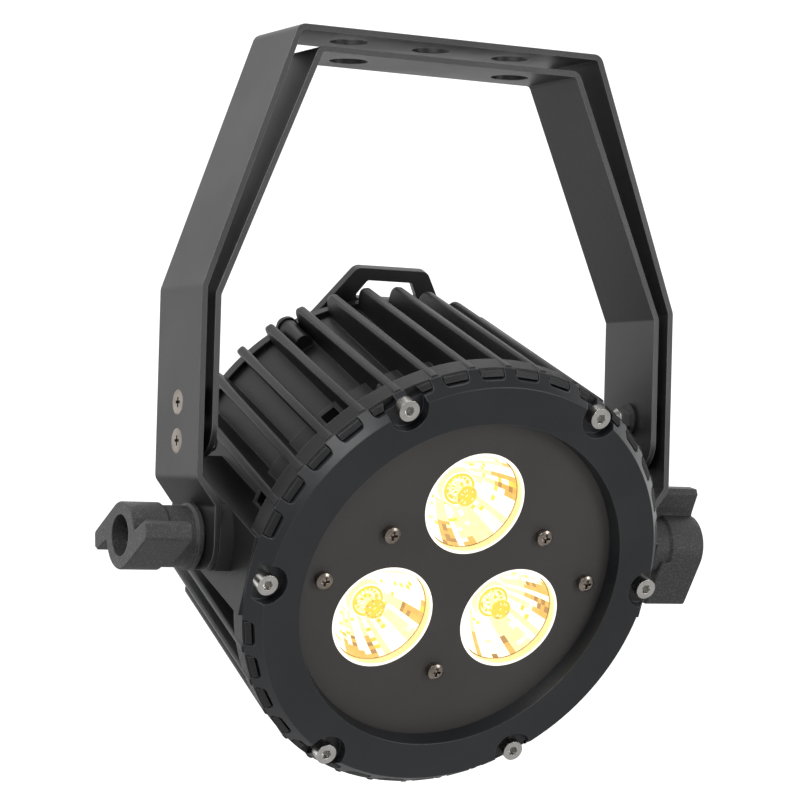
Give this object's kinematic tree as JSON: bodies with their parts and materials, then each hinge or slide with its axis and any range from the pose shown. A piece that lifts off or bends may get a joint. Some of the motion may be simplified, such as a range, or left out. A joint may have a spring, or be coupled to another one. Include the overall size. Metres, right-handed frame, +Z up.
{
  "type": "par can light",
  "caption": "Finned par stage light: a round head with lit lenses tilting between hand knobs in a bent hanging yoke, with a nested yoke that swings out as a floor stand.",
  "frame": {"origin": "centre of the middle hanging hole, on the top face of the outer yoke's top bar", "axes": "+Z up, +X to the right seen from the front along the tilt axis, -Y to the front; the head rests tilted 24.3 degrees front-down"},
  "size_m": [0.2166, 0.1427, 0.2481],
  "materials": {
    "yoke_paint": "satin black powder coat on 2 mm steel",
    "stand_paint": "satin black powder coat on 2 mm steel",
    "arm_screw_nickel": "nickel-plated cross-recess countersunk screws",
    "zinc_nut": "zinc-plated nyloc nuts",
    "black_washer": "black nylon",
    "zinc_washer": "black zinc steel washer",
    "knob_plastic": "fine grained mid-grey black glass-filled nylon",
    "bolt_steel": "black oxide socket-head bolt",
    "housing_cast": "matte black painted casting",
    "bezel_paint": "satin dark blue-grey painted ring",
    "gasket_rubber": "black silicone rubber",
    "cap_screw_steel": "stainless socket-head cap screws",
    "panel_paint": "fine speckled black paint",
    "pan_screw_nickel": "dark nickel cross-recess pan screws",
    "standoff_brass": "turned brass",
    "reflector_bright": "bright faceted reflector",
    "cover_glass": "clear cover",
    "dome_glass": "clear dome lens",
    "led_phosphor": "yellow phosphor, lit warm white",
    "led_base_metal": "metal-core board",
    "thermal_pad": "grey thermal pad",
    "board_green": "green solder mask",
    "component_black": "moulded components",
    "lead_wire": "insulated leads",
    "rear_cover_paint": "matte black painted casting",
    "rear_plate_paint": "satin black painted steel",
    "rear_screw_black": "black zinc screws",
    "socket_black": "moulded plastic",
    "power_in_plastic": "blue moulded plastic",
    "power_out_plastic": "light grey moulded plastic",
    "display_glass": "dark display window",
    "button_plastic": "moulded buttons"
  },
  "bodies": {
    "yoke": {"outer_yoke": "yoke_paint", "stand_pivot_screws": "arm_screw_nickel", "stand_guide_screws": "arm_screw_nickel", "stand_spacers": "black_washer", "stand_washers": "black_washer", "stand_nuts": "zinc_nut", "knob_washers": "zinc_washer", "left_spacer_disc": "black_washer", "right_spacer_disc": "black_washer"},
    "stand": {"inner_yoke": "stand_paint"},
    "left_knob_set": {"left_knob": "knob_plastic", "left_knob_bolt": "bolt_steel"},
    "right_knob_set": {"right_knob": "knob_plastic", "right_knob_bolt": "bolt_steel"},
    "head": {"heatsink_housing": "housing_cast", "front_bezel": "bezel_paint", "bezel_gasket": "gasket_rubber", "bezel_screws": "cap_screw_steel", "front_panel": "panel_paint", "panel_screws": "pan_screw_nickel", "panel_standoffs": "standoff_brass", "driver_posts": "standoff_brass", "reflector_top": "reflector_bright", "lens_cover_top": "cover_glass", "led_base_top": "led_base_metal", "led_emitter_top": "led_phosphor", "dome_lens_top": "dome_glass", "reflector_left": "reflector_bright", "lens_cover_left": "cover_glass", "led_base_left": "led_base_metal", "led_emitter_left": "led_phosphor", "dome_lens_left": "dome_glass", "reflector_right": "reflector_bright", "lens_cover_right": "cover_glass", "led_base_right": "led_base_metal", "led_emitter_right": "led_phosphor", "dome_lens_right": "dome_glass", "thermal_pads": "thermal_pad", "led_leads": "lead_wire", "ribbon_cable": "lead_wire", "driver_board": "board_green", "control_board": "board_green", "driver_components": "component_black", "button_switches": "component_black", "display_module": "component_black", "rear_cover": "rear_cover_paint", "safety_loop_plate": "rear_plate_paint", "rear_cover_screws": "rear_screw_black", "plate_screws": "rear_screw_black", "power_inlet": "power_in_plastic", "power_outlet": "power_out_plastic", "data_input": "socket_black", "data_output": "socket_black", "fuse_cap": "socket_black", "display_window": "display_glass"},
    "button_menu_key": {"button_menu": "button_plastic"},
    "button_down_key": {"button_down": "button_plastic"},
    "button_up_key": {"button_up": "button_plastic"},
    "button_enter_key": {"button_enter": "button_plastic"}
  },
  "joints": [
    {"name": "head_tilt", "type": "hinge", "parent": "yoke", "child": "head", "pos_m": [0, 0, -0.167], "axis": [1, 0, 0], "range_deg": [-114.3, 95.7]},
    {"name": "stand_swing", "type": "hinge", "parent": "yoke", "child": "stand", "pos_m": [0, 0, -0.1238], "axis": [1, 0, 0], "range_deg": [-60, 0]},
    {"name": "left_knob_turn", "type": "hinge", "parent": "yoke", "child": "left_knob_set", "pos_m": [-0.09, 0, -0.167], "axis": [-1, 0, 0], "range_deg": [0, 360]},
    {"name": "right_knob_turn", "type": "hinge", "parent": "yoke", "child": "right_knob_set", "pos_m": [0.09, 0, -0.167], "axis": [1, 0, 0], "range_deg": [0, 360]},
    {"name": "menu_press", "type": "slide", "parent": "head", "child": "button_menu_key", "axis": [0, -0.9114, -0.4115], "range_m": [0, 0.0008], "stiffness_N_per_m": 300},
    {"name": "down_press", "type": "slide", "parent": "head", "child": "button_down_key", "axis": [0, -0.9114, -0.4115], "range_m": [0, 0.0008], "stiffness_N_per_m": 300},
    {"name": "up_press", "type": "slide", "parent": "head", "child": "button_up_key", "axis": [0, -0.9114, -0.4115], "range_m": [0, 0.0008], "stiffness_N_per_m": 300},
    {"name": "enter_press", "type": "slide", "parent": "head", "child": "button_enter_key", "axis": [0, -0.9114, -0.4115], "range_m": [0, 0.0008], "stiffness_N_per_m": 300}
  ]
}
